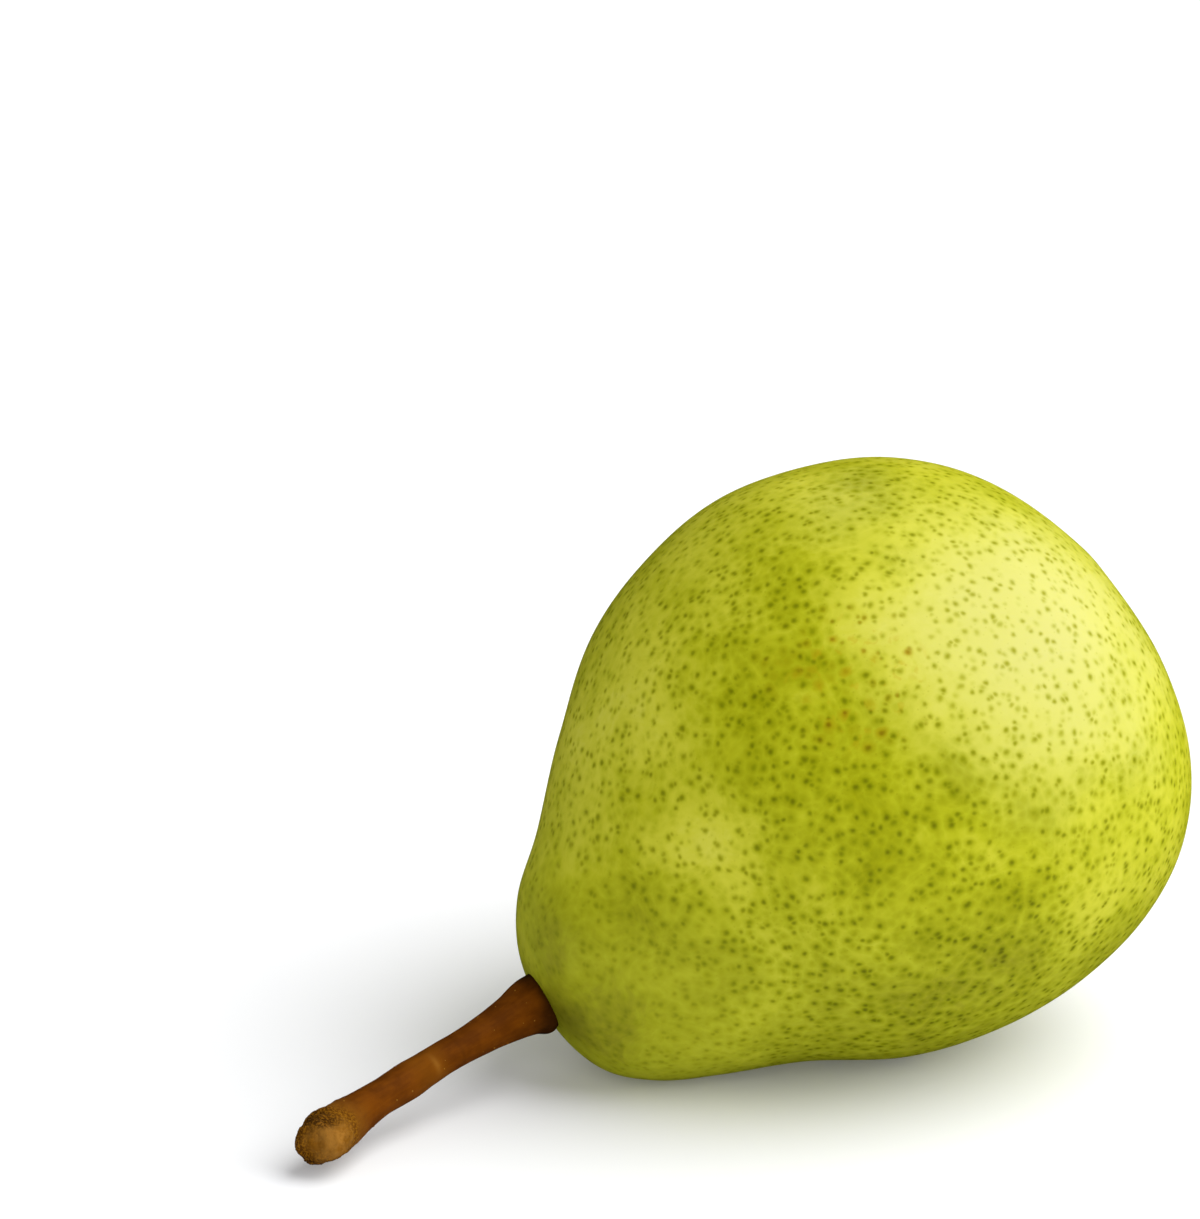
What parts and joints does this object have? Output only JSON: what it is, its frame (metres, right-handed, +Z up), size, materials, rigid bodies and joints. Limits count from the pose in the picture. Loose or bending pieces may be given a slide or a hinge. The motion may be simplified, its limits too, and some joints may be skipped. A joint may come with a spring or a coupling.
{
  "type": "pear",
  "caption": "Ripe green dessert pear lying on its side, with its woody stem and the dried flower in its eye.",
  "frame": {"origin": "on the plane that the pear rests on, under the middle of the whole pear's box", "axes": "+X along the pear's length towards the eye, the stem towards -X; +Z up; +Y to the left of someone looking along +X"},
  "size_m": [0.1146, 0.07, 0.0693],
  "materials": {
    "skin": "satin",
    "stem_wood": "matte",
    "dried_sepal": "matte",
    "dried_stamen": "matte"
  },
  "bodies": {
    "root": {"fruit": "skin", "stem": "stem_wood", "sepal_1": "dried_sepal", "sepal_2": "dried_sepal", "sepal_3": "dried_sepal", "sepal_4": "dried_sepal", "sepal_5": "dried_sepal", "dried_stamens": "dried_stamen"}
  },
  "joints": []
}
